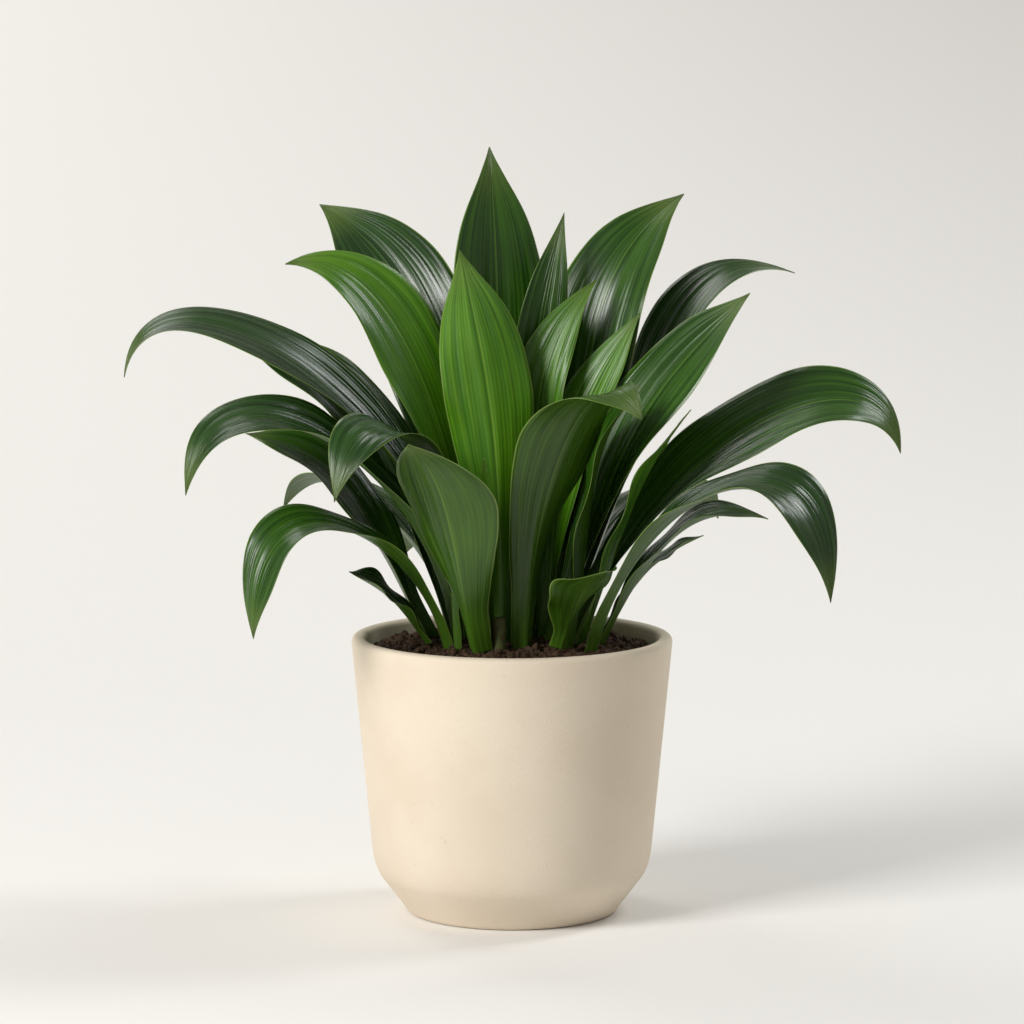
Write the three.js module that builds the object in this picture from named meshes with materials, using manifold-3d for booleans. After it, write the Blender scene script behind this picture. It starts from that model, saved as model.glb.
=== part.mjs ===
// A potted dracaena: a clump of broad arching leaves on short canes, in a plain ceramic pot.
// Millimetres, +Z up. The origin is the centre of the pot's flat underside, and the front is -Y.

import * as THREE from 'three';
import { mergeVertices } from 'three/addons/utils/BufferGeometryUtils.js';
import Module from 'manifold-3d';

const wasm = await Module();
wasm.setup();

// ---- Driving dimensions ----

const GAP = 0.3; // clearance between pieces that touch

const POT_HEIGHT = 174;
const POT_RIM_RADIUS = 100;
const POT_FOOT_RADIUS = 62;
const POT_SHOULDER_RADIUS = 88; // where the slanted foot turns into the wall
const POT_SHOULDER_HEIGHT = 46;
const POT_WALL = 9;
const POT_FLOOR = 12;
const POT_LIP_ROUND = 4;
const POT_SEGMENTS = 40;

const SOIL_EDGE_HEIGHT = 165;
const SOIL_CENTRE_HEIGHT = 171;
const SOIL_SEGMENTS = 32;

const CANE_RADIUS = 5;
const CANE_DEPTH = 30; // how far a cane reaches into the soil
const CANE_RISE = 20; // how far it stands above the soil
const CANE_SIDES = 12;
const CANES = [
  { name: 'cane_centre', x: 0, y: 0 },
  { name: 'cane_front', x: -8, y: -42 },
  { name: 'cane_back', x: 29, y: 26 },
];

const LEAF_THICKNESS = 1;
const LEAF_STEPS = 14; // divisions from root to tip
const LEAF_ROOT_HEIGHT = SOIL_CENTRE_HEIGHT + 3;

// Share of the full width and depth of the channel at stations from root (0) to tip (1).
const WIDTH_PROFILE = [
  [0, 0.26], [0.15, 0.3], [0.32, 0.56], [0.48, 0.86], [0.62, 1],
  [0.74, 0.95], [0.84, 0.72], [0.91, 0.4], [0.96, 0.16], [1, 0.03],
];
const FOLD_PROFILE = [[0, 0.9], [0.25, 0.6], [0.5, 0.28], [0.8, 0.16], [1, 0.1]];

// A leaf is one curve in the upright plane of its heading, and a few values set it:
// heading   where it grows to in plan, in degrees: 0 right, 90 back, 180 left, 270 front
// root      how far from the centre it leaves the soil
// lean      how far it starts from upright, in degrees
// tip       where it ends, as [out, up]
// pitch     the slope that it ends at, in degrees, below 0 where the tip hangs
// width     its broadest
// roll      how far its face turns about its own length, in degrees
// sway      how far its tip is carried sideways (0 where it isn't given)
// bow       how far it arches over before its tip, as a share of the straight way from
//           root to tip (TIP_BOW where it isn't given)
const LEAVES = [
  // left side, from the highest down
  { name: 'leaf_left_crest', heading: 180, root: 30, lean: 5, tip: [240, 335], pitch: -80,
    width: 54, roll: -20 },
  { name: 'leaf_left_under_crest', heading: 170, root: 40, lean: 15, tip: [175, 355], pitch: 15,
    width: 54, roll: -30 },
  { name: 'leaf_left_arch', heading: 200, root: 40, lean: 5, tip: [210, 270], pitch: -80,
    width: 50, roll: -20, bow: 0.55 },
  { name: 'leaf_left_middle', heading: 180, root: 55, lean: 25, tip: [165, 300], pitch: 10,
    width: 50, roll: -25 },
  { name: 'leaf_left_droop', heading: 210, root: 50, lean: 15, tip: [180, 185], pitch: -90,
    width: 42, roll: -15, bow: 0.9 },
  { name: 'leaf_left_low', heading: 205, root: 60, lean: 35, tip: [110, 220], pitch: 25,
    width: 32, roll: -20 },

  // front
  { name: 'leaf_front_left_arch', heading: 225, root: 30, lean: 0, tip: [150, 270], pitch: -75,
    width: 46, roll: -15, bow: 0.7 },
  { name: 'leaf_front_left_small', heading: 225, root: 50, lean: 5, tip: [75, 280], pitch: 50,
    width: 24, roll: -20 },
  { name: 'leaf_front_broad', heading: 245, root: 55, lean: 25, tip: [125, 305], pitch: 30,
    width: 64, roll: -5, sway: -10 },
  { name: 'leaf_front_right_small', heading: 305, root: 55, lean: 25, tip: [100, 225], pitch: 20,
    width: 48, roll: 5 },
  { name: 'leaf_front_folded', heading: 285, root: 35, lean: 5, tip: [130, 320], pitch: -60,
    width: 58, roll: 15, sway: 45 },
  { name: 'leaf_front_spear', heading: 250, root: 48, lean: 0, tip: [50, 290], pitch: 85,
    width: 12, roll: -30 },

  // centre, nearly upright
  { name: 'leaf_tallest', heading: 105, root: 25, lean: 5, tip: [55, 475], pitch: 75,
    width: 66, roll: 10 },
  { name: 'leaf_centre_bright', heading: 255, root: 25, lean: 0, tip: [30, 415], pitch: 75,
    width: 56, roll: 20, sway: -25 },
  { name: 'leaf_centre_young', heading: 65, root: 13, lean: 5, tip: [45, 435], pitch: 70,
    width: 32, roll: 30, sway: -15 },
  { name: 'leaf_centre_right_young', heading: 15, root: 12, lean: 5, tip: [55, 395], pitch: 45,
    width: 34, roll: 55 },
  { name: 'leaf_right_young', heading: 5, root: 22, lean: 5, tip: [80, 375], pitch: 55,
    width: 36, roll: 45 },

  // upper left and upper right
  { name: 'leaf_upper_left_bright', heading: 180, root: 15, lean: 10, tip: [140, 405], pitch: -15,
    width: 54, roll: -50, bow: 0.25 },
  { name: 'leaf_upper_left_broad', heading: 135, root: 30, lean: 10, tip: [175, 435], pitch: 20,
    width: 66, roll: -45 },
  { name: 'leaf_upper_right_broad', heading: 30, root: 25, lean: 15, tip: [125, 445], pitch: 30,
    width: 66, roll: 30 },
  { name: 'leaf_right_curled', heading: 20, root: 35, lean: 25, tip: [190, 395], pitch: -20,
    width: 50, roll: 15 },

  // right side, from the highest down
  { name: 'leaf_right_glossy', heading: 345, root: 33, lean: 15, tip: [150, 390], pitch: 45,
    width: 62, roll: 45 },
  { name: 'leaf_right_front_olive', heading: 325, root: 47, lean: 10, tip: [95, 335], pitch: 45,
    width: 48, roll: 35 },
  { name: 'leaf_right_blade', heading: 335, root: 50, lean: 20, tip: [120, 320], pitch: 50,
    width: 26, roll: 10 },
  { name: 'leaf_right_arch', heading: 355, root: 42, lean: 20, tip: [240, 290], pitch: -80,
    width: 62, roll: 35 },
  { name: 'leaf_right_droop', heading: 330, root: 62, lean: 15, tip: [220, 210], pitch: -85,
    width: 48, roll: 15, bow: 0.8 },
  { name: 'leaf_right_low', heading: 350, root: 60, lean: 25, tip: [160, 250], pitch: -20,
    width: 36, roll: 10 },
  { name: 'leaf_right_stem', heading: 5, root: 58, lean: 30, tip: [120, 235], pitch: 20,
    width: 20, roll: 5 },

  // back, from the highest down
  { name: 'leaf_back_left_high', heading: 120, root: 42, lean: 15, tip: [180, 365], pitch: -30,
    width: 56, roll: 10 },
  { name: 'leaf_back_right_high', heading: 65, root: 35, lean: 15, tip: [185, 350], pitch: -35,
    width: 54, roll: -10 },
  { name: 'leaf_back_centre', heading: 95, root: 48, lean: 20, tip: [185, 290], pitch: -50,
    width: 52, roll: 5 },
  { name: 'leaf_back_left_arch', heading: 145, root: 45, lean: 20, tip: [180, 240], pitch: -60,
    width: 46, roll: 5 },
  { name: 'leaf_back_right_arch', heading: 45, root: 50, lean: 20, tip: [190, 230], pitch: -60,
    width: 46, roll: -5 },
  { name: 'leaf_back_left_low', heading: 115, root: 55, lean: 25, tip: [165, 205], pitch: -50,
    width: 40, roll: 5 },
  { name: 'leaf_back_right_low', heading: 75, root: 55, lean: 25, tip: [165, 200], pitch: -55,
    width: 40, roll: -5 },
];

// How long a leaf keeps to its starting lean, as a share of the straight way.
const STIFFNESS = 0.55;
const TIP_BOW = 0.35;

const POT_COLOUR = 0xe6d7c2;
const SOIL_COLOUR = 0x3e2817;
const CANE_COLOUR = 0x6a5a34;
const LEAF_COLOUR = 0x3f6420;

// ---- Helpers ----

const radians = THREE.MathUtils.degToRad;

// The value of a [station, value] profile at t, on straight lines between its stations.
function profileAt(profile, t) {
  for (let i = 1; i < profile.length; i += 1) {
    const [t0, v0] = profile[i - 1];
    const [t1, v1] = profile[i];
    if (t <= t1) {
      return THREE.MathUtils.mapLinear(t, t0, t1, v0, v1);
    }
  }
  return profile[profile.length - 1][1];
}

// A path of (radius, height) turned about +Z.
function turned(path, pointsPerCurve, segments) {
  const geometry = new THREE.LatheGeometry(path.getPoints(pointsPerCurve), segments);
  return geometry.rotateX(Math.PI / 2);
}

function positionOnly(geometry) {
  const bare = geometry.clone();
  bare.deleteAttribute('normal');
  bare.deleteAttribute('uv');
  return mergeVertices(bare, 1e-4);
}

function toManifold(geometry) {
  const merged = positionOnly(geometry);
  const vertProperties = new Float32Array(merged.attributes.position.array);
  const triVerts = new Uint32Array(withoutSlivers(merged.index.array));
  return new wasm.Manifold(new wasm.Mesh({ numProp: 3, vertProperties, triVerts }));
}

// Turned shapes have triangles of no area where they meet the axis.
function withoutSlivers(index) {
  const kept = [];
  for (let i = 0; i < index.length; i += 3) {
    const [a, b, c] = [index[i], index[i + 1], index[i + 2]];
    if (a !== b && b !== c && c !== a) {
      kept.push(a, b, c);
    }
  }
  return kept;
}

function fromManifold(solid) {
  const mesh = solid.getMesh();
  const geometry = new THREE.BufferGeometry();
  geometry.setAttribute('position', new THREE.BufferAttribute(mesh.vertProperties, 3));
  geometry.setIndex(new THREE.BufferAttribute(mesh.triVerts, 1));
  geometry.computeVertexNormals();
  return geometry;
}

function addPiece(group, name, geometry, material) {
  const mesh = new THREE.Mesh(geometry, material);
  mesh.name = name;
  group.add(mesh);
}

// ---- Pot ----

const innerRimRadius = POT_RIM_RADIUS - POT_WALL;
const innerFloorRadius = POT_FOOT_RADIUS + 4;
const innerShoulderRadius = POT_SHOULDER_RADIUS - POT_WALL;

function potGeometry() {
  const top = POT_HEIGHT;
  const path = new THREE.Path();
  path.moveTo(0, 0);
  path.lineTo(POT_FOOT_RADIUS, 0);
  path.quadraticCurveTo(POT_FOOT_RADIUS + 3, 0, POT_FOOT_RADIUS + 5, 3);
  path.lineTo(POT_SHOULDER_RADIUS - 6, 23);
  path.quadraticCurveTo(POT_SHOULDER_RADIUS - 1, 30, POT_SHOULDER_RADIUS, POT_SHOULDER_HEIGHT);
  path.lineTo(POT_RIM_RADIUS, top - POT_LIP_ROUND);
  path.quadraticCurveTo(POT_RIM_RADIUS, top, POT_RIM_RADIUS - POT_LIP_ROUND, top);
  path.quadraticCurveTo(innerRimRadius, top, innerRimRadius, top - POT_LIP_ROUND);
  path.lineTo(innerShoulderRadius, POT_SHOULDER_HEIGHT);
  path.lineTo(innerFloorRadius, POT_FLOOR);
  path.lineTo(0, POT_FLOOR);
  return turned(path, 4, POT_SEGMENTS);
}

// The radius of the pot's inside wall at a height above its shoulder.
function innerRadiusAt(height) {
  const wallTop = POT_HEIGHT - POT_LIP_ROUND;
  return THREE.MathUtils.mapLinear(
    height, POT_SHOULDER_HEIGHT, wallTop, innerShoulderRadius, innerRimRadius);
}

// ---- Soil and canes ----

// The soil's facets span wider steps than the pot's, so its sides stay further in.
const SOIL_INSET = 1.2;

function soilGeometry() {
  const path = new THREE.Path();
  path.moveTo(0, POT_FLOOR + GAP);
  path.lineTo(innerFloorRadius - SOIL_INSET, POT_FLOOR + GAP);
  path.lineTo(innerShoulderRadius - SOIL_INSET, POT_SHOULDER_HEIGHT);
  path.lineTo(innerRadiusAt(SOIL_EDGE_HEIGHT) - SOIL_INSET, SOIL_EDGE_HEIGHT);
  path.lineTo(POT_FOOT_RADIUS, SOIL_CENTRE_HEIGHT);
  path.lineTo(0, SOIL_CENTRE_HEIGHT);
  let soil = toManifold(turned(path, 1, SOIL_SEGMENTS));
  for (const cane of CANES) {
    const pocket = caneGeometry(cane, CANE_RADIUS + GAP, CANE_DEPTH + GAP);
    soil = soil.subtract(toManifold(pocket));
  }
  return fromManifold(soil);
}

function caneGeometry(cane, radius, depth) {
  const length = depth + CANE_RISE;
  const geometry = new THREE.CylinderGeometry(radius, radius, length, CANE_SIDES);
  geometry.rotateX(Math.PI / 2);
  geometry.translate(cane.x, cane.y, SOIL_CENTRE_HEIGHT - depth + length / 2);
  return geometry;
}

// ---- Leaves ----

// The middle line of a leaf as a curve in space.
function leafCurve(leaf) {
  const heading = radians(leaf.heading);
  const outward = new THREE.Vector3(Math.cos(heading), Math.sin(heading), 0);
  const sideways = new THREE.Vector3(-Math.sin(heading), Math.cos(heading), 0);
  const place = (out, up, aside) => outward.clone().multiplyScalar(out)
    .addScaledVector(sideways, aside).setZ(up);
  const [tipOut, tipUp] = leaf.tip;
  const sway = leaf.sway ?? 0;
  const span = Math.hypot(tipOut - leaf.root, tipUp - LEAF_ROOT_HEIGHT);
  const lean = radians(leaf.lean);
  const pitch = radians(leaf.pitch);
  const stiff = STIFFNESS * span;
  const bow = (leaf.bow ?? TIP_BOW) * span;
  const curve = new THREE.CubicBezierCurve3(
    place(leaf.root, LEAF_ROOT_HEIGHT, 0),
    place(leaf.root + stiff * Math.sin(lean), LEAF_ROOT_HEIGHT + stiff * Math.cos(lean), 0),
    place(tipOut - bow * Math.cos(pitch), tipUp - bow * Math.sin(pitch), sway / 2),
    place(tipOut, tipUp, sway));
  return { curve, sideways };
}

// A folded blade: at each step a left edge, a midrib and a right edge, on both faces.
function leafGeometry(leaf) {
  const { curve, sideways } = leafCurve(leaf);
  const faces = { upper: [], lower: [] };
  for (let i = 0; i <= LEAF_STEPS; i += 1) {
    const t = i / LEAF_STEPS;
    const middle = curve.getPointAt(t);
    const along = curve.getTangentAt(t);
    const side = sideways.clone().addScaledVector(along, -sideways.dot(along)).normalize();
    side.applyAxisAngle(along, radians(leaf.roll));
    const up = along.clone().cross(side);
    const half = (leaf.width / 2) * profileAt(WIDTH_PROFILE, t);
    const lift = half * profileAt(FOLD_PROFILE, t);
    for (const across of [1, 0, -1]) {
      const point = middle.clone().addScaledVector(side, half * across);
      point.addScaledVector(up, lift * Math.abs(across));
      faces.upper.push(point.clone().addScaledVector(up, LEAF_THICKNESS / 2));
      faces.lower.push(point.clone().addScaledVector(up, -LEAF_THICKNESS / 2));
    }
  }
  const positions = [...faces.upper, ...faces.lower].flatMap((point) => point.toArray());
  const geometry = new THREE.BufferGeometry();
  geometry.setAttribute('position', new THREE.Float32BufferAttribute(positions, 3));
  geometry.setIndex(bladeIndex());
  geometry.computeVertexNormals();
  return geometry;
}

// The triangles that close a blade of three points across and LEAF_STEPS divisions along.
function bladeIndex() {
  const across = 3;
  const lowerStart = (LEAF_STEPS + 1) * across;
  const upper = (row, column) => row * across + column;
  const lower = (row, column) => lowerStart + upper(row, column);
  const index = [];
  const quad = (a, b, c, d) => index.push(a, b, c, a, c, d);
  for (let row = 0; row < LEAF_STEPS; row += 1) {
    const next = row + 1;
    for (let column = 0; column < across - 1; column += 1) {
      const right = column + 1;
      quad(upper(row, column), upper(row, right), upper(next, right), upper(next, column));
      quad(lower(row, column), lower(next, column), lower(next, right), lower(row, right));
    }
    const last = across - 1;
    quad(upper(row, 0), upper(next, 0), lower(next, 0), lower(row, 0));
    quad(upper(row, last), lower(row, last), lower(next, last), upper(next, last));
  }
  for (let column = 0; column < across - 1; column += 1) {
    const right = column + 1;
    quad(upper(0, column), lower(0, column), lower(0, right), upper(0, right));
    quad(upper(LEAF_STEPS, column), upper(LEAF_STEPS, right),
      lower(LEAF_STEPS, right), lower(LEAF_STEPS, column));
  }
  return index;
}

// ---- The whole plant ----

function material(colour, roughness) {
  return new THREE.MeshStandardMaterial({ color: colour, roughness, metalness: 0 });
}

const group = new THREE.Group();
addPiece(group, 'pot', potGeometry(), material(POT_COLOUR, 0.7));
addPiece(group, 'soil', soilGeometry(), material(SOIL_COLOUR, 0.95));
for (const cane of CANES) {
  addPiece(group, cane.name, caneGeometry(cane, CANE_RADIUS, CANE_DEPTH), material(CANE_COLOUR, 0.8));
}
for (const leaf of LEAVES) {
  addPiece(group, leaf.name, leafGeometry(leaf), material(LEAF_COLOUR, 0.4));
}

export default group;
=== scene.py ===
# %% [markdown]
# # A potted dracaena
# The plant is a clump of broad, glossy, arching leaves in a plain ceramic pot. The packed
# model gives the real sizes and places, and this script makes the fine surfaces over it.
# Everything is in metres, +Z is up and the front of the plant is -Y.

# %% Load the fixed frame
import math
import random
import bpy
from mathutils import Matrix, Quaternion, Vector, noise


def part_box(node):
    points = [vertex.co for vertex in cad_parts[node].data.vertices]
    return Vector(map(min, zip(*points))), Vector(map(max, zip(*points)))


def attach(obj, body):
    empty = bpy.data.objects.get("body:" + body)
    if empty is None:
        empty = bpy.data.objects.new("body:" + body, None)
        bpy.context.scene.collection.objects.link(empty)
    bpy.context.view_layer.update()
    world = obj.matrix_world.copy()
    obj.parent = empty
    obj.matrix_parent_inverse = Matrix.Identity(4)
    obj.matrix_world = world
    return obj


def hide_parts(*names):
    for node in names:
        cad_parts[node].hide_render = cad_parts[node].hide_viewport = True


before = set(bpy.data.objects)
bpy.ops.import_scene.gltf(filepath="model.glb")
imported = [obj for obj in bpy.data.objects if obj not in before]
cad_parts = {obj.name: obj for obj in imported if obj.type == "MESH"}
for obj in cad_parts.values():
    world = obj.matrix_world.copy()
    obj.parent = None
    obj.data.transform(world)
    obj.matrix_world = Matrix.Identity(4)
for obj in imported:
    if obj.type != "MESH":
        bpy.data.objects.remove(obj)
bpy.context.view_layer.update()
MM = 0.001

# %% [markdown]
# ## Studio
# The floor runs back and curves up into a wall, so there is no horizon line. It could be a
# flat plane with a white world, but a sweep takes the soft shadow and fades behind the
# plant in the way a paper roll does.

# %% Sweep, floor to wall
SWEEP_HALF_WIDTH = 6.0
SWEEP_FRONT = -5.0
SWEEP_BACK = 0.8
SWEEP_BEND = 3.6
SWEEP_TOP = 5.0
BEND_STEPS = 72


def sweep_profile():
    points = [(SWEEP_FRONT, 0.0)]
    for i in range(BEND_STEPS + 1):
        turn = math.pi / 2 * i / BEND_STEPS
        back = SWEEP_BACK + SWEEP_BEND * math.sin(turn)
        points.append((back, SWEEP_BEND * (1 - math.cos(turn))))
    points.append((SWEEP_BACK + SWEEP_BEND, SWEEP_TOP))
    return points


def mesh_object(name, verts, faces, smooth=True):
    mesh = bpy.data.meshes.new(name)
    mesh.from_pydata(verts, [], faces)
    mesh.validate()
    mesh.update()
    if smooth:
        mesh.shade_smooth()
    obj = bpy.data.objects.new(name, mesh)
    bpy.context.scene.collection.objects.link(obj)
    return obj


def make_sweep():
    profile = sweep_profile()
    verts = [(side * SWEEP_HALF_WIDTH, y, z) for y, z in profile for side in (-1, 1)]
    faces = [(2 * i, 2 * i + 1, 2 * i + 3, 2 * i + 2) for i in range(len(profile) - 1)]
    return mesh_object("studio_sweep", verts, faces)


floor = make_sweep()
print("sweep faces:", len(floor.data.polygons))

# %% [markdown]
# ## Camera and lights
# A long lens a few steps back keeps the pot's sides nearly upright. The camera could be aimed
# by a constraint, but one small function turns the camera and the lights to their targets.
# A large key gives the soft shadow, and a narrow window light draws the streaks on the leaves.

# %% Camera
CAMERA_AWAY = 2.76
CAMERA_HEIGHT = 0.594
CAMERA_AIM_HEIGHT = 0.251
CAMERA_LENS = 157.4


def aim(obj, target):
    obj.rotation_euler = (Vector(target) - obj.location).to_track_quat("-Z", "Y").to_euler()


camera_data = bpy.data.cameras.new("camera")
camera_data.lens = CAMERA_LENS
camera = bpy.data.objects.new("camera", camera_data)
bpy.context.scene.collection.objects.link(camera)
camera.location = (0, -CAMERA_AWAY, CAMERA_HEIGHT)
aim(camera, (0, 0, CAMERA_AIM_HEIGHT))
bpy.context.scene.camera = camera
bpy.context.scene.view_settings.view_transform = "Standard"
print("camera lens:", CAMERA_LENS)

# %% Lights: a key on the left, a weak fill, a window on the right for gloss, and a wall light
PLANT_MIDDLE = (0, 0, 0.25)
WALL_PATCH = (-0.8, 2.6, 0.4)
ROOM_COLOUR = (1.0, 0.96, 0.90, 1)
ROOM_STRENGTH = 0.30


def area_light(name, place, target, size, power, colour):
    data = bpy.data.lights.new(name, "AREA")
    data.shape = "RECTANGLE"
    data.size, data.size_y = size
    data.energy = power
    data.color = colour
    light = bpy.data.objects.new(name, data)
    bpy.context.scene.collection.objects.link(light)
    light.location = place
    aim(light, target)
    return light


area_light("key", (-1.95, -1.6, 1.5), PLANT_MIDDLE, size=(1.1, 1.1), power=68, colour=(1.0, 0.985, 0.965))
area_light("fill", (2.6, -1.8, 1.4), PLANT_MIDDLE, size=(2.0, 2.0), power=1.0, colour=(1.0, 0.95, 0.88))
area_light("window", (1.45, 0.75, 1.9), PLANT_MIDDLE, size=(0.5, 1.2), power=20, colour=(0.97, 0.99, 1.0))
area_light("wall", (-1.4, 2.2, 2.2), WALL_PATCH, size=(3.0, 1.0), power=26, colour=(1.0, 0.99, 0.97))

world = bpy.data.worlds.new("soft_room")
bpy.context.scene.world = world
world.use_nodes = True
background = world.node_tree.nodes["Background"]
background.inputs["Color"].default_value = ROOM_COLOUR
background.inputs["Strength"].default_value = ROOM_STRENGTH

# %% [markdown]
# ## Surface effects shared by several materials
# Uneven tone turns up on leaves, clay, compost and bark, and fine grain on the last three.
# Each could be built again in every material, but a node group with its own values in each
# is shorter and keeps them alike. The groups give masks and heights only.

# %% Helpers for node trees
def new_group(name, inputs, outputs):
    group = bpy.data.node_groups.new(name, "ShaderNodeTree")
    for label, value in inputs:
        socket = group.interface.new_socket(label, in_out="INPUT", socket_type="NodeSocketFloat")
        socket.default_value = value
    for label in outputs:
        group.interface.new_socket(label, in_out="OUTPUT", socket_type="NodeSocketFloat")
    return group, group.nodes.new("NodeGroupInput"), group.nodes.new("NodeGroupOutput")


def math_node(tree, operation, first, second=None):
    node = tree.nodes.new("ShaderNodeMath")
    node.operation = operation
    for socket, value in zip(node.inputs, (first, second)):
        if isinstance(value, (int, float)):
            socket.default_value = value
        elif value is not None:
            tree.links.new(value, socket)
    return node.outputs[0]


def faded(tree, mask, share):
    """A mask turned down to a share of its strength."""
    return math_node(tree, "MULTIPLY", mask, share)


def ramp_node(tree, mask, low, high):
    node = tree.nodes.new("ShaderNodeMapRange")
    node.interpolation_type = "SMOOTHSTEP"
    tree.links.new(mask, node.inputs["Value"])
    node.inputs["From Min"].default_value = low
    node.inputs["From Max"].default_value = high
    return node.outputs["Result"]


def mix_colour(tree, mask, first, second):
    node = tree.nodes.new("ShaderNodeMix")
    node.data_type = "RGBA"
    tree.links.new(mask, node.inputs["Factor"])
    for socket, value in ((node.inputs[6], first), (node.inputs[7], second)):
        if isinstance(value, tuple):
            socket.default_value = (*value, 1)
        else:
            tree.links.new(value, socket)
    return node.outputs[2]


MASK_RANGE = (0.3, 0.7)
NOISE_MIDDLE = 0.5


def noise_group(name, detail, roughness):
    """Noise in the object's own metres, as a mask and as a height about zero."""
    inputs = [("Scale", 100.0), ("Height Amount", 1.0)]
    group, given, result = new_group(name, inputs, ["Mask", "Height"])
    place = group.nodes.new("ShaderNodeTexCoord")
    cloud = group.nodes.new("ShaderNodeTexNoise")
    cloud.inputs["Detail"].default_value = detail
    cloud.inputs["Roughness"].default_value = roughness
    group.links.new(place.outputs["Object"], cloud.inputs["Vector"])
    group.links.new(given.outputs["Scale"], cloud.inputs["Scale"])
    group.links.new(ramp_node(group, cloud.outputs["Fac"], *MASK_RANGE), result.inputs["Mask"])
    centred = math_node(group, "SUBTRACT", cloud.outputs["Fac"], NOISE_MIDDLE)
    height = math_node(group, "MULTIPLY", centred, given.outputs["Height Amount"])
    group.links.new(height, result.inputs["Height"])
    return group


UNEVEN_TONE = noise_group("uneven_tone", 3, 0.5)
FINE_GRAIN = noise_group("fine_grain", 6, 0.65)
print("groups:", [g.name for g in bpy.data.node_groups])

# %% [markdown]
# ## The leaf pattern
# A dracaena leaf has veins that run side by side from root to tip, a paler midrib, and a
# thin yellow-green margin. They could be lines of paint, but worked out from the leaf's
# own across and along values they follow every bend of the blade.

# %% Leaf pattern group: across runs from 0 to 1 over the blade, along from root to tip
VEIN_COUNT = 22.0
STREAKS_ACROSS = 9.0
STREAK_SCALE = 1.6
STREAK_RANGE = (0.36, 0.66)
VEIN_SHARE = 0.25
STREAK_SHARE = 0.75
MIDRIB_EDGE = (0.004, 0.022)
MARGIN_EDGE = (0.482, 0.497)
TIP_FADE = (0.86, 1.0)
BASE_FADE = (0.02, 0.22)
RIDGE_HEIGHT = 0.45
MIDRIB_DEPTH = 1.2


def even_waves(group, across, count):
    """Waves from 0 to 1 side by side over the blade."""
    turn = faded(group, math_node(group, "MULTIPLY", across, count), math.tau)
    lifted = math_node(group, "ADD", math_node(group, "COSINE", turn), 1.0)
    return faded(group, lifted, 0.5)


def long_streaks(group, across, along, scale):
    """Uneven streaks drawn out from root to tip."""
    stretch = group.nodes.new("ShaderNodeCombineXYZ")
    group.links.new(math_node(group, "MULTIPLY", across, scale), stretch.inputs["X"])
    group.links.new(along, stretch.inputs["Y"])
    streak = group.nodes.new("ShaderNodeTexNoise")
    streak.inputs["Scale"].default_value = STREAK_SCALE
    streak.inputs["Detail"].default_value = 4
    group.links.new(stretch.outputs[0], streak.inputs["Vector"])
    return ramp_node(group, streak.outputs["Fac"], *STREAK_RANGE)


def leaf_pattern_group():
    inputs = [("Vein Count", VEIN_COUNT), ("Streaks Across", STREAKS_ACROSS)]
    outputs = ["Veins", "Midrib", "Margin", "Tip", "Base", "Height"]
    group, given, result = new_group("leaf_pattern", inputs, outputs)
    uv = group.nodes.new("ShaderNodeUVMap")
    uv.uv_map = "blade"
    split = group.nodes.new("ShaderNodeSeparateXYZ")
    group.links.new(uv.outputs["UV"], split.inputs[0])
    across, along = split.outputs["X"], split.outputs["Y"]

    offset = math_node(group, "ABSOLUTE", math_node(group, "SUBTRACT", across, 0.5))
    waves = even_waves(group, across, given.outputs["Vein Count"])
    streaks = long_streaks(group, across, along, given.outputs["Streaks Across"])
    veins = math_node(group, "ADD", faded(group, waves, VEIN_SHARE), faded(group, streaks, STREAK_SHARE))
    midrib = math_node(group, "SUBTRACT", 1.0, ramp_node(group, offset, *MIDRIB_EDGE))
    base = math_node(group, "SUBTRACT", 1.0, ramp_node(group, along, *BASE_FADE))
    ridges = math_node(group, "ADD", faded(group, waves, RIDGE_HEIGHT), streaks)
    height = math_node(group, "SUBTRACT", ridges, faded(group, midrib, MIDRIB_DEPTH))

    group.links.new(veins, result.inputs["Veins"])
    group.links.new(midrib, result.inputs["Midrib"])
    group.links.new(ramp_node(group, offset, *MARGIN_EDGE), result.inputs["Margin"])
    group.links.new(ramp_node(group, along, *TIP_FADE), result.inputs["Tip"])
    group.links.new(base, result.inputs["Base"])
    group.links.new(height, result.inputs["Height"])
    return group


LEAF_PATTERN = leaf_pattern_group()
print("leaf pattern nodes:", len(LEAF_PATTERN.nodes))

# %% [markdown]
# ## Finishes
# Each finish is one Principled BSDF whose colour is built up in layers, with a roughness
# that follows a mask. A painted image could do it, but these stay sharp at any distance.

# %% Material helpers
COAT_ROUGHNESS = 0.18


def new_material(name, roughness, specular=0.5, coat=0.0):
    material = bpy.data.materials.new(name)
    material.use_nodes = True
    shader = material.node_tree.nodes["Principled BSDF"]
    shader.inputs["Roughness"].default_value = roughness
    shader.inputs["Specular IOR Level"].default_value = specular
    shader.inputs["Coat Weight"].default_value = coat
    shader.inputs["Coat Roughness"].default_value = COAT_ROUGHNESS
    return material, material.node_tree, shader


def use_group(tree, group, **values):
    node = tree.nodes.new("ShaderNodeGroup")
    node.node_tree = group
    for label, value in values.items():
        node.inputs[label.replace("_", " ")].default_value = value
    return node.outputs


def add_bump(tree, shader, height, distance, strength=1.0):
    bump = tree.nodes.new("ShaderNodeBump")
    bump.inputs["Distance"].default_value = distance
    bump.inputs["Strength"].default_value = strength
    tree.links.new(height, bump.inputs["Height"])
    tree.links.new(bump.outputs["Normal"], shader.inputs["Normal"])


def vary_roughness(tree, shader, mask, low, high):
    node = tree.nodes.new("ShaderNodeMapRange")
    node.inputs["To Min"].default_value = low
    node.inputs["To Max"].default_value = high
    tree.links.new(mask, node.inputs["Value"])
    tree.links.new(node.outputs["Result"], shader.inputs["Roughness"])


print("finish helpers: new_material, use_group, add_bump, vary_roughness")

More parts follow.
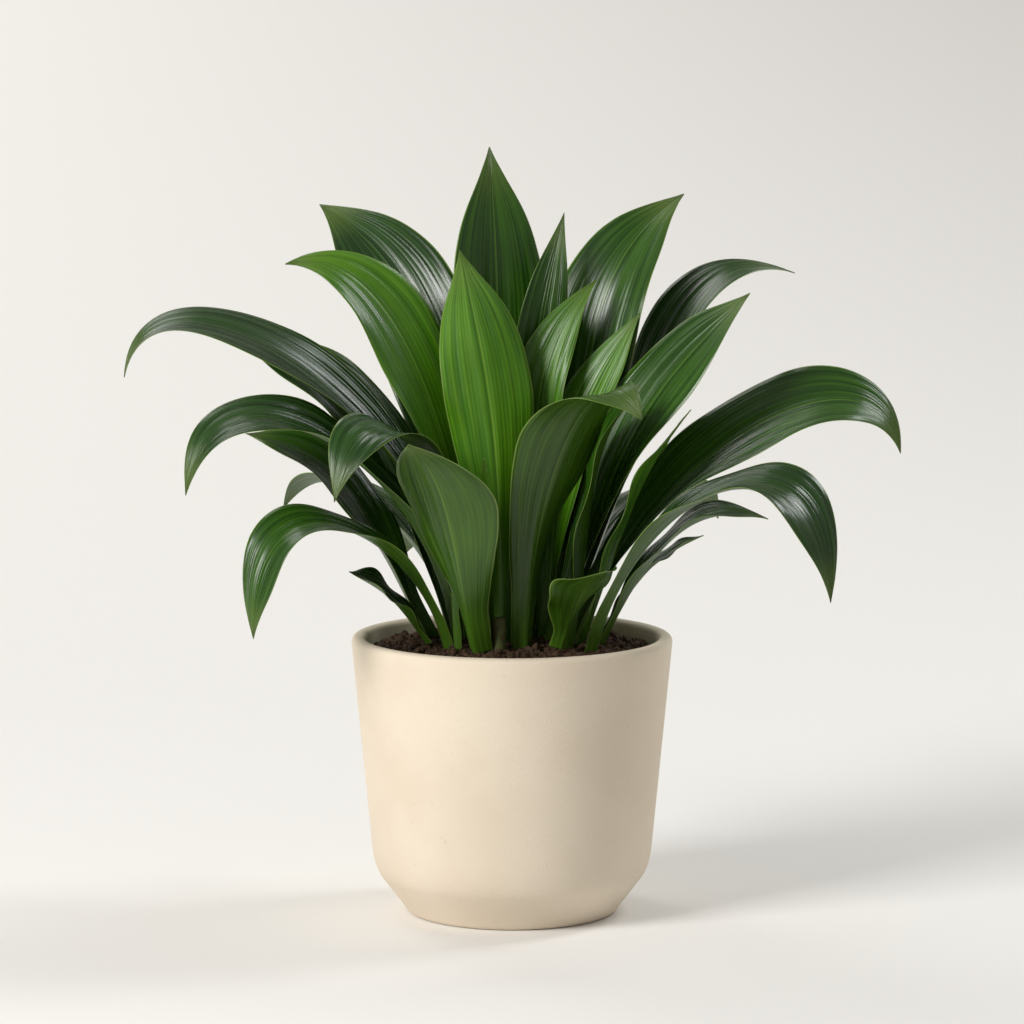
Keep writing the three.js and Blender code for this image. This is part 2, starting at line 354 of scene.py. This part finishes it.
# %% Leaf finishes
MARGIN_COLOUR = (0.20, 0.30, 0.06)
TIP_COLOUR = (0.13, 0.20, 0.035)
BASE_COLOUR = (0.070, 0.165, 0.010)
PATCH_SCALE = 28.0
PATCH_DARKENING = 0.72
PATCH_STRENGTH = 0.35
MIDRIB_STRENGTH = 0.55
BASE_STRENGTH = 0.65
TIP_STRENGTH = 0.6
MARGIN_STRENGTH = 0.8
LEAF_RELIEF = 0.0002


def leaf_material(name, dark, light, rib, gloss):
    material, tree, shader = new_material(name, gloss[0], specular=0.40, coat=0.16)
    pattern = use_group(tree, LEAF_PATTERN)
    patches = use_group(tree, UNEVEN_TONE, Scale=PATCH_SCALE)
    deeper = tuple(PATCH_DARKENING * c for c in dark)
    colour = mix_colour(tree, pattern["Veins"], dark, light)
    colour = mix_colour(tree, faded(tree, patches["Mask"], PATCH_STRENGTH), colour, deeper)
    colour = mix_colour(tree, faded(tree, pattern["Midrib"], MIDRIB_STRENGTH), colour, rib)
    colour = mix_colour(tree, faded(tree, pattern["Base"], BASE_STRENGTH), colour, BASE_COLOUR)
    colour = mix_colour(tree, faded(tree, pattern["Tip"], TIP_STRENGTH), colour, TIP_COLOUR)
    colour = mix_colour(tree, faded(tree, pattern["Margin"], MARGIN_STRENGTH), colour, MARGIN_COLOUR)
    tree.links.new(colour, shader.inputs["Base Color"])
    vary_roughness(tree, shader, pattern["Veins"], *gloss)
    add_bump(tree, shader, pattern["Height"], LEAF_RELIEF)
    return material


# name: (dark vein, light vein, midrib, roughness from vein to vein)
LEAF_TONES = {
    "deep": ((0.006, 0.028, 0.003), (0.022, 0.074, 0.008), (0.05, 0.12, 0.02), (0.20, 0.32)),
    "mature": ((0.009, 0.044, 0.002), (0.038, 0.118, 0.006), (0.09, 0.19, 0.02), (0.22, 0.34)),
    "young": ((0.030, 0.120, 0.001), (0.085, 0.230, 0.004), (0.15, 0.31, 0.02), (0.28, 0.40)),
    "bright": ((0.034, 0.140, 0.001), (0.105, 0.270, 0.003), (0.17, 0.33, 0.02), (0.32, 0.44)),
    "olive": ((0.020, 0.066, 0.001), (0.048, 0.118, 0.003), (0.09, 0.18, 0.01), (0.34, 0.46)),
    "under": ((0.024, 0.074, 0.002), (0.056, 0.132, 0.006), (0.09, 0.17, 0.02), (0.36, 0.48)),
}
LEAF_FINISHES = {name: leaf_material("leaf_" + name, *tones) for name, tones in LEAF_TONES.items()}
UNDERSIDES = {"bright": "bright", "olive": "olive", "young": "bright"}
print("leaf finishes:", sorted(LEAF_FINISHES))

# %% [markdown]
# ## Leaves
# Each leaf is a thin blade: narrow and deeply channelled at the root, broad and nearly flat
# at the middle, and drawn out to a fine point. It could be a flat card bent by a modifier.
# A grid worked out point by point is used here, because the fold, the soft pleats along the
# blade and the wavy edge all belong to the shape and show in its outline.

# %% How leaves grow: the solid model's rule and values, with finer tips
LEAF_ROOT_HEIGHT = 174
STIFFNESS = 0.55
WIDTH_PROFILE = [
    (0, 0.26), (0.15, 0.3), (0.32, 0.56), (0.48, 0.86), (0.62, 1),
    (0.74, 0.95), (0.84, 0.72), (0.91, 0.4), (0.96, 0.15), (1, 0.01),
]
FOLD_PROFILE = [(0, 0.9), (0.25, 0.6), (0.5, 0.28), (0.8, 0.16), (1, 0.1)]

# name: (heading, root, lean, (tip out, tip up), pitch, width, roll, sway, bow, finish)
LEAVES = {
    "left_crest": (180, 30, 5, (240, 335), -80, 54, -20, 0, 0.35, "deep"),
    "left_under_crest": (170, 40, 15, (175, 355), 15, 54, -30, 0, 0.35, "mature"),
    "left_arch": (200, 40, 5, (210, 270), -80, 50, -20, 0, 0.55, "deep"),
    "left_middle": (180, 55, 25, (165, 300), 10, 50, -25, 0, 0.35, "mature"),
    "left_droop": (210, 50, 15, (180, 185), -90, 42, -15, 0, 0.9, "mature"),
    "left_low": (205, 60, 35, (110, 220), 25, 32, -20, 0, 0.35, "deep"),
    "front_left_arch": (225, 30, 0, (150, 270), -75, 46, -15, 0, 0.7, "deep"),
    "front_left_small": (225, 50, 5, (75, 280), 50, 24, -20, 0, 0.35, "mature"),
    "front_broad": (245, 55, 25, (125, 305), 30, 64, -5, -10, 0.35, "olive"),
    "front_right_small": (305, 55, 25, (100, 225), 20, 48, 5, 0, 0.35, "olive"),
    "front_folded": (285, 35, 5, (130, 320), -60, 58, 15, 45, 0.35, "olive"),
    "front_spear": (250, 48, 0, (50, 290), 85, 12, -30, 0, 0.35, "young"),
    "tallest": (105, 25, 5, (55, 475), 75, 66, 10, 0, 0.35, "mature"),
    "centre_bright": (255, 25, 0, (30, 415), 75, 56, 20, -25, 0.35, "bright"),
    "centre_young": (65, 13, 5, (45, 435), 70, 32, 30, -15, 0.35, "mature"),
    "centre_right_young": (15, 12, 5, (55, 395), 45, 34, 55, 0, 0.35, "young"),
    "right_young": (5, 22, 5, (80, 375), 55, 36, 45, 0, 0.35, "young"),
    "upper_left_bright": (180, 15, 10, (140, 405), -15, 54, -50, 0, 0.25, "young"),
    "upper_left_broad": (135, 30, 10, (175, 435), 20, 66, -45, 0, 0.35, "deep"),
    "upper_right_broad": (30, 25, 15, (125, 445), 30, 66, 30, 0, 0.35, "mature"),
    "right_curled": (20, 35, 25, (190, 395), -20, 50, 15, 0, 0.35, "deep"),
    "right_glossy": (345, 33, 15, (150, 390), 45, 62, 45, 0, 0.35, "mature"),
    "right_front_olive": (325, 47, 10, (95, 335), 45, 48, 35, 0, 0.35, "mature"),
    "right_blade": (335, 50, 20, (120, 320), 50, 26, 10, 0, 0.35, "young"),
    "right_arch": (355, 42, 20, (240, 290), -80, 62, 35, 0, 0.35, "mature"),
    "right_droop": (330, 62, 15, (220, 210), -85, 48, 15, 0, 0.8, "deep"),
    "right_low": (350, 60, 25, (160, 250), -20, 36, 10, 0, 0.35, "mature"),
    "right_stem": (5, 58, 30, (120, 235), 20, 20, 5, 0, 0.35, "mature"),
    "back_left_high": (120, 42, 15, (180, 365), -30, 56, 10, 0, 0.35, "deep"),
    "back_right_high": (65, 35, 15, (185, 350), -35, 54, -10, 0, 0.35, "deep"),
    "back_centre": (95, 48, 20, (185, 290), -50, 52, 5, 0, 0.35, "mature"),
    "back_left_arch": (145, 45, 20, (180, 240), -60, 46, 5, 0, 0.35, "mature"),
    "back_right_arch": (45, 50, 20, (190, 230), -60, 46, -5, 0, 0.35, "deep"),
    "back_left_low": (115, 55, 25, (165, 205), -50, 40, 5, 0, 0.35, "mature"),
    "back_right_low": (75, 55, 25, (165, 200), -55, 40, -5, 0, 0.35, "mature"),
}


def profile_at(profile, t):
    """The value at t, on straight lines between the profile's stations."""
    for (t0, v0), (t1, v1) in zip(profile, profile[1:]):
        if t <= t1:
            share = max(0.0, (t - t0) / (t1 - t0))
            return v0 + (v1 - v0) * share
    return profile[-1][1]


def soft_profile_at(profile, t, reach=0.035):
    """The same value averaged over a short stretch, which rounds the profile's corners."""
    reach = min(reach, 1 - t)
    shares = (-1, -0.5, 0, 0.5, 1)
    return sum(profile_at(profile, t + reach * share) for share in shares) / len(shares)


def leaf_bezier(heading, root, lean, tip, pitch, sway, bow):
    """The four control points of a leaf's middle line, and its sideways direction."""
    turn = math.radians(heading)
    outward = Vector((math.cos(turn), math.sin(turn), 0))
    sideways = Vector((-math.sin(turn), math.cos(turn), 0))

    def place(out, up, aside):
        return (outward * out + sideways * aside + Vector((0, 0, up))) * MM

    span = math.hypot(tip[0] - root, tip[1] - LEAF_ROOT_HEIGHT)
    lean, pitch = math.radians(lean), math.radians(pitch)
    stiff, bow = STIFFNESS * span, bow * span
    points = [
        place(root, LEAF_ROOT_HEIGHT, 0),
        place(root + stiff * math.sin(lean), LEAF_ROOT_HEIGHT + stiff * math.cos(lean), 0),
        place(tip[0] - bow * math.cos(pitch), tip[1] - bow * math.sin(pitch), sway / 2),
        place(tip[0], tip[1], sway),
    ]
    return points, sideways


print("leaves:", len(LEAVES))

# %% Stations along a leaf, evenly spaced
BEZIER_SAMPLES = 240


def bezier_point(p, t):
    s = 1 - t
    return p[0] * s**3 + p[1] * (3 * s * s * t) + p[2] * (3 * s * t * t) + p[3] * t**3


def even_stations(points, shares):
    """(place, direction) at each share of the curve's length. A share below 0 lies under the root."""
    samples = [bezier_point(points, i / BEZIER_SAMPLES) for i in range(BEZIER_SAMPLES + 1)]
    lengths = [0.0]
    for a, b in zip(samples, samples[1:]):
        lengths.append(lengths[-1] + (b - a).length)
    stations, k = [], 0
    for share in shares:
        want = max(0.0, share) * lengths[-1]
        while k < BEZIER_SAMPLES - 1 and lengths[k + 1] < want:
            k += 1
        step = samples[k + 1] - samples[k]
        part = (want - lengths[k]) / (lengths[k + 1] - lengths[k])
        direction = step.normalized()
        below = min(0.0, share) * lengths[-1]
        stations.append((samples[k] + step * part + direction * below, direction))
    return stations


print("stations are found from", BEZIER_SAMPLES, "short steps")

# %% Blade mesh
BLADE_STEPS = 84
BLADE_ACROSS = 18
BURIED_SHARE = -0.04
BLADE_THICKNESS = 0.7 * MM
EDGE_THICKNESS = 0.25 * MM
PLEAT_HEIGHT = 0.7 * MM
EDGE_WAVE = 2.4 * MM
PLEAT_COUNT = (2.6, 3.4)
EDGE_WAVE_COUNT = (2.0, 3.2)
FOLD_CURVE = 1.3


def blade_surface(spec, rng):
    """Rows of (middle of the blade, half its thickness) from root to tip, and their shares."""
    heading, root, lean, tip, pitch, width, roll, sway, bow, _ = spec
    points, sideways = leaf_bezier(heading, root, lean, tip, pitch, sway, bow)
    shares = [BURIED_SHARE + (1 - BURIED_SHARE) * i / BLADE_STEPS for i in range(BLADE_STEPS + 1)]
    phase = [rng.uniform(0, math.tau) for _ in range(2)]
    pleats = rng.uniform(*PLEAT_COUNT)
    waves = rng.uniform(*EDGE_WAVE_COUNT)
    rows = []
    for share, (middle, along) in zip(shares, even_stations(points, shares)):
        t = max(0.0, share)
        side = (sideways - along * sideways.dot(along)).normalized()
        side = Quaternion(along, math.radians(roll)) @ side
        up = along.cross(side)
        half = width / 2 * MM * soft_profile_at(WIDTH_PROFILE, t)
        fold = half * soft_profile_at(FOLD_PROFILE, t)
        spread = min(1.0, half / (width / 2 * MM))
        row = []
        for j in range(BLADE_ACROSS + 1):
            v = 1 - 2 * j / BLADE_ACROSS
            lift = fold * abs(v) ** FOLD_CURVE
            lift += PLEAT_HEIGHT * spread * math.cos(math.pi * pleats * v * 2) * (1 - v**4)
            edge = EDGE_WAVE * spread * abs(v) ** 3
            lift += edge * math.sin(math.tau * waves * t + phase[0 if v > 0 else 1])
            thick = EDGE_THICKNESS + (BLADE_THICKNESS - EDGE_THICKNESS) * (1 - v * v)
            row.append((middle + side * (half * v) + up * lift, up * (thick / 2)))
        rows.append(row)
    return rows, shares


def blade_object(name, spec, rng):
    rows, shares = blade_surface(spec, rng)
    columns = BLADE_ACROSS + 1
    upper = [p + n for row in rows for p, n in row]
    lower = [p - n for row in rows for p, n in row]
    start = len(upper)
    faces = []
    for i in range(BLADE_STEPS):
        for j in range(BLADE_ACROSS):
            a = i * columns + j
            b, c, d = a + 1, a + columns + 1, a + columns
            faces.append((a, b, c, d))
            faces.append((start + a, start + d, start + c, start + b))
        first, last = i * columns, i * columns + BLADE_ACROSS
        faces.append((first, first + columns, start + first + columns, start + first))
        faces.append((last, start + last, start + last + columns, last + columns))
    for j in range(BLADE_ACROSS):
        end = BLADE_STEPS * columns + j
        faces.append((j, start + j, start + j + 1, j + 1))
        faces.append((end, end + 1, start + end + 1, start + end))
    blade = mesh_object(name, upper + lower, faces)
    paint_blade(blade, shares, columns, start)
    return blade


def paint_blade(blade, shares, columns, start):
    """Across and along values for the pattern, and the underside's own finish."""
    layer = blade.data.uv_layers.new(name="blade")
    for loop in blade.data.loops:
        row, column = divmod(loop.vertex_index % start, columns)
        layer.data[loop.index].uv = (column / (columns - 1), max(0.0, shares[row]))
    for face in blade.data.polygons:
        face.material_index = int(all(v >= start for v in face.vertices))


print("points across and along one face:", BLADE_ACROSS + 1, BLADE_STEPS + 1)

# %% Grow every leaf
LEAF_SEED = 7
for place, (leaf_name, leaf) in enumerate(LEAVES.items()):
    blade = blade_object("blade_" + leaf_name, leaf, random.Random(LEAF_SEED + place))
    blade.data.materials.append(LEAF_FINISHES[leaf[-1]])
    blade.data.materials.append(LEAF_FINISHES[UNDERSIDES.get(leaf[-1], "under")])
    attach(blade, "root")
    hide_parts("leaf_" + leaf_name)
print("blades:", len(LEAVES), "faces in one:", len(blade.data.polygons))

# %% [markdown]
# ## Pot
# A slip-cast pot, matte and cream, with a slanted foot and a softly rounded rim. The solid
# model's shape is right but its sides are flat facets, so a finer turned mesh stands for it.
# Bevelling the facets away would move the wall, and turning the profile again doesn't.

# %% Pot profile, as (radius, height) in mm
POT_HEIGHT = 174
POT_RIM = 100
POT_WALL = 9
POT_FOOT = 62
FOOT_BEND = (POT_FOOT + 3, 0)
FOOT_EDGE = (POT_FOOT + 5, 3)
POT_SHOULDER = (88, 46)
SLANT_TOP = (POT_SHOULDER[0] - 6, 23)
SHOULDER_BEND = (POT_SHOULDER[0] - 1, 30)
POT_FLOOR = (POT_FOOT + 4, 12)
LIP = 4
POT_SEGMENTS = 180


def curve_points(start, bend, end, steps=8):
    points = []
    for i in range(1, steps + 1):
        t = i / steps
        a, b, c = (1 - t) ** 2, 2 * t * (1 - t), t * t
        points.append(tuple(a * p + b * q + c * r for p, q, r in zip(start, bend, end)))
    return points


def line_points(start, end, steps):
    return [tuple(p + (q - p) * i / steps for p, q in zip(start, end)) for i in range(1, steps + 1)]


def pot_profile():
    inner_rim = POT_RIM - POT_WALL
    inner_shoulder = (POT_SHOULDER[0] - POT_WALL, POT_SHOULDER[1])
    points = [(0, 0), (POT_FOOT, 0)]
    points += curve_points(points[-1], FOOT_BEND, FOOT_EDGE)
    points += line_points(points[-1], SLANT_TOP, 4)
    points += curve_points(points[-1], SHOULDER_BEND, POT_SHOULDER)
    points += line_points(points[-1], (POT_RIM, POT_HEIGHT - LIP), 20)
    points += curve_points(points[-1], (POT_RIM, POT_HEIGHT), (POT_RIM - LIP, POT_HEIGHT))
    points += curve_points(points[-1], (inner_rim, POT_HEIGHT), (inner_rim, POT_HEIGHT - LIP))
    points += line_points(points[-1], inner_shoulder, 10)
    points += line_points(points[-1], POT_FLOOR, 3)
    points.append((0, POT_FLOOR[1]))
    return points


def turned_object(name, profile, segments):
    """A closed turned mesh whose profile starts and ends on the axis."""
    rings = profile[1:-1]
    verts = [(0, 0, profile[0][1] * MM)]
    for radius, height in rings:
        for i in range(segments):
            turn = math.tau * i / segments
            verts.append((radius * MM * math.cos(turn), radius * MM * math.sin(turn), height * MM))
    verts.append((0, 0, profile[-1][1] * MM))
    faces = []
    for i in range(segments):
        j = (i + 1) % segments
        faces.append((0, 1 + j, 1 + i))
        for r in range(len(rings) - 1):
            a, b = 1 + r * segments, 1 + (r + 1) * segments
            faces.append((a + i, a + j, b + j, b + i))
        top = 1 + (len(rings) - 1) * segments
        faces.append((top + i, top + j, len(verts) - 1))
    return mesh_object(name, verts, faces)


print("pot profile points:", len(pot_profile()))

# %% Clay finish
CLAY_DARK = (0.73, 0.63, 0.50)
CLAY_PALE = (0.78, 0.69, 0.56)
CLAY_GRAIN = (0.62, 0.52, 0.40)
CLAY_FLECK = (0.50, 0.40, 0.29)
FLECK_RANGE = (0.14, 0.22)


def clay_material():
    material, tree, shader = new_material("matte_clay", 0.72, specular=0.35)
    tone = use_group(tree, UNEVEN_TONE, Scale=14.0)
    grain = use_group(tree, FINE_GRAIN, Scale=900.0)
    speck = use_group(tree, FINE_GRAIN, Scale=260.0)
    body = mix_colour(tree, tone["Mask"], CLAY_DARK, CLAY_PALE)
    grained = mix_colour(tree, faded(tree, grain["Mask"], 0.16), body, CLAY_GRAIN)
    flecks = ramp_node(tree, speck["Height"], *FLECK_RANGE)
    flecked = mix_colour(tree, faded(tree, flecks, 0.35), grained, CLAY_FLECK)
    tree.links.new(flecked, shader.inputs["Base Color"])
    vary_roughness(tree, shader, tone["Mask"], 0.66, 0.80)
    add_bump(tree, shader, grain["Height"], 0.0004, 0.6)
    return material


pot = turned_object("pot_fine", pot_profile(), POT_SEGMENTS)
pot.data.materials.append(clay_material())
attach(pot, "root")
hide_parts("pot")
print("pot faces:", len(pot.data.polygons))

# %% [markdown]
# ## Compost
# Dark, moist and crumbly, heaped a little towards the clump. Bump alone would leave a flat
# disc at the rim, so the bed is an uneven mesh with loose crumbs and clods lying on it.

# %% Compost bed
BED_EDGE_RADIUS = 88.5
BED_EDGE_HEIGHT = 165
BED_CENTRE_HEIGHT = 171
BED_BOTTOM = 120
BED_RINGS = 44
BED_SEGMENTS = 150
BED_SKIRT_SHARE = 0.96
COARSE_LUMPS = 2.0
COARSE_PER_MM = 0.09
FINE_LUMPS = 0.9
FINE_PER_MM = 0.35


def bed_height(x, y):
    """Height of the bed in mm at a place in mm."""
    share = min(1.0, math.hypot(x, y) / BED_EDGE_RADIUS)
    base = BED_CENTRE_HEIGHT + (BED_EDGE_HEIGHT - BED_CENTRE_HEIGHT) * share**2
    coarse = noise.noise(Vector((x * COARSE_PER_MM, y * COARSE_PER_MM, 3)))
    fine = noise.noise(Vector((x * FINE_PER_MM, y * FINE_PER_MM, 8)))
    return base + COARSE_LUMPS * coarse + FINE_LUMPS * fine


def bed_object():
    verts = [(0, 0, bed_height(0, 0) * MM)]
    for r in range(1, BED_RINGS + 1):
        radius = BED_EDGE_RADIUS * r / BED_RINGS
        for i in range(BED_SEGMENTS):
            turn = math.tau * i / BED_SEGMENTS
            x, y = radius * math.cos(turn), radius * math.sin(turn)
            verts.append((x * MM, y * MM, bed_height(x, y) * MM))
    rim = len(verts) - BED_SEGMENTS
    skirt = len(verts)
    for i in range(BED_SEGMENTS):
        x, y, _ = verts[rim + i]
        verts.append((x * BED_SKIRT_SHARE, y * BED_SKIRT_SHARE, BED_BOTTOM * MM))
    verts.append((0, 0, BED_BOTTOM * MM))
    faces = []
    for i in range(BED_SEGMENTS):
        j = (i + 1) % BED_SEGMENTS
        faces.append((0, 1 + i, 1 + j))
        for r in range(BED_RINGS - 1):
            a = 1 + r * BED_SEGMENTS
            b = a + BED_SEGMENTS
            faces.append((a + i, b + i, b + j, a + j))
        faces.append((rim + i, skirt + i, skirt + j, rim + j))
        faces.append((skirt + i, len(verts) - 1, skirt + j))
    return mesh_object("compost_bed", verts, faces)


print("bed height at the middle:", round(bed_height(0, 0), 1))

# %% Crumbs and clods, as (how many, smallest, largest) in mm
CRUMB_SEED = 21
CRUMB_KINDS = [(1900, 0.7, 1.5), (620, 1.5, 2.6), (150, 2.6, 4.2)]
CRUMB_BREADTH = (0.7, 1.2)
CRUMB_FLATNESS = (0.5, 0.9)
CRUMB_BUMPS = (0.78, 1.18)
BED_MARGIN = 1


def icosahedron():
    golden = (1 + math.sqrt(5)) / 2
    corners = []
    for a in (-1, 1):
        for b in (-golden, golden):
            corners += [Vector((0, a, b)), Vector((a, b, 0)), Vector((b, 0, a))]
    corners = [c.normalized() for c in corners]
    edge = min((a - b).length for a in corners for b in corners if a is not b) * 1.01

    def near(i, j):
        return (corners[i] - corners[j]).length < edge

    faces = []
    for i in range(12):
        for j in range(i + 1, 12):
            for k in range(j + 1, 12):
                if near(i, j) and near(j, k) and near(i, k):
                    normal = (corners[j] - corners[i]).cross(corners[k] - corners[i])
                    faces.append((i, j, k) if normal.dot(corners[i]) > 0 else (i, k, j))
    return corners, faces


def crumbs_object():
    corners, triangles = icosahedron()
    rng = random.Random(CRUMB_SEED)
    verts, faces = [], []
    for count, small, large in CRUMB_KINDS:
        for _ in range(count):
            size = rng.uniform(small, large)
            radius = (BED_EDGE_RADIUS - size - BED_MARGIN) * math.sqrt(rng.random())
            turn = rng.uniform(0, math.tau)
            x, y = radius * math.cos(turn), radius * math.sin(turn)
            middle = Vector((x, y, bed_height(x, y) + size * rng.uniform(0.0, 0.5)))
            axis = [rng.gauss(0, 1) for _ in range(3)]
            spin = Quaternion(axis, rng.uniform(0, math.tau))
            ranges = (CRUMB_BREADTH, CRUMB_BREADTH, CRUMB_FLATNESS)
            shape = Matrix.Diagonal([rng.uniform(*between) for between in ranges])
            start = len(verts)
            for corner in corners:
                bumpy = corner * rng.uniform(*CRUMB_BUMPS)
                verts.append((middle + (spin.to_matrix() @ (shape @ bumpy)) * size) * MM)
            faces += [tuple(start + v for v in triangle) for triangle in triangles]
    return mesh_object("compost_crumbs", verts, faces, smooth=False)


print("crumbs:", sum(count for count, _, _ in CRUMB_KINDS))

# %% Compost finish
COMPOST_DARK = (0.012, 0.006, 0.003)
COMPOST_BROWN = (0.070, 0.036, 0.018)
COMPOST_GRAIN = (0.12, 0.068, 0.036)


def compost_material():
    material, tree, shader = new_material("moist_compost", 0.85, specular=0.3)
    tone = use_group(tree, UNEVEN_TONE, Scale=160.0)
    grain = use_group(tree, FINE_GRAIN, Scale=1400.0)
    body = mix_colour(tree, tone["Mask"], COMPOST_DARK, COMPOST_BROWN)
    grained = mix_colour(tree, faded(tree, grain["Mask"], 0.4), body, COMPOST_GRAIN)
    tree.links.new(grained, shader.inputs["Base Color"])
    vary_roughness(tree, shader, grain["Mask"], 0.7, 0.95)
    add_bump(tree, shader, grain["Height"], 0.0006)
    return material


compost = compost_material()
bed, crumbs = bed_object(), crumbs_object()
for piece in (bed, crumbs):
    piece.data.materials.append(compost)
    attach(piece, "root")
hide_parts("soil")
print("compost faces:", len(bed.data.polygons), len(crumbs.data.polygons))

# %% [markdown]
# ## Canes
# Short woody stems with the ring scars that old leaves leave behind. The solid canes are
# plain rods, and the scars are raised rings in the mesh, so they show in the outline.

# %% Cane meshes and bark
CANE_RINGS = 24
CANE_SEGMENTS = 28
SCAR_EVERY = 5
SCAR_HEIGHT = 0.4
BARK_INSET = 0.6
END_ROUNDING = 0.8
BARK_BROWN = (0.060, 0.048, 0.018)
BARK_GREEN = (0.060, 0.085, 0.018)


def cane_object(node):
    low, high = (Vector(c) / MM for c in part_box(node))
    middle = (low + high) / 2
    radius = (high.x - low.x) / 2
    profile = [(0, low.z)]
    for i in range(CANE_RINGS + 1):
        scar = 0.0 if i % SCAR_EVERY else SCAR_HEIGHT
        rounding = END_ROUNDING if i in (0, CANE_RINGS) else 0.0
        height = low.z + (high.z - low.z) * i / CANE_RINGS
        profile.append((radius - BARK_INSET + scar - rounding, height))
    profile.append((0, high.z))
    cane = turned_object(node + "_bark", profile, CANE_SEGMENTS)
    cane.data.transform(Matrix.Translation((middle.x * MM, middle.y * MM, 0)))
    return cane


def bark_material():
    material, tree, shader = new_material("green_bark", 0.7, specular=0.35)
    tone = use_group(tree, UNEVEN_TONE, Scale=220.0)
    grain = use_group(tree, FINE_GRAIN, Scale=1100.0)
    colour = mix_colour(tree, tone["Mask"], BARK_BROWN, BARK_GREEN)
    tree.links.new(colour, shader.inputs["Base Color"])
    vary_roughness(tree, shader, grain["Mask"], 0.55, 0.8)
    add_bump(tree, shader, grain["Height"], 0.0005)
    return material


bark = bark_material()
for node in ("cane_centre", "cane_front", "cane_back"):
    cane = cane_object(node)
    cane.data.materials.append(bark)
    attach(cane, "root")
    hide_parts(node)
print("cane faces:", len(cane.data.polygons))

# %% [markdown]
# ## Paper
# The sweep is plain pale paper. It could take a noise like the clay's, but an even tone keeps the eye on
# the plant.

# %% Paper finish for the sweep
PAPER_COLOUR = (0.86, 0.85, 0.83, 1)
paper, _, paper_shader = new_material("pale_paper", 0.9, specular=0.2)
paper_shader.inputs["Base Color"].default_value = PAPER_COLOUR
floor.data.materials.append(paper)
print("paper:", paper.name)
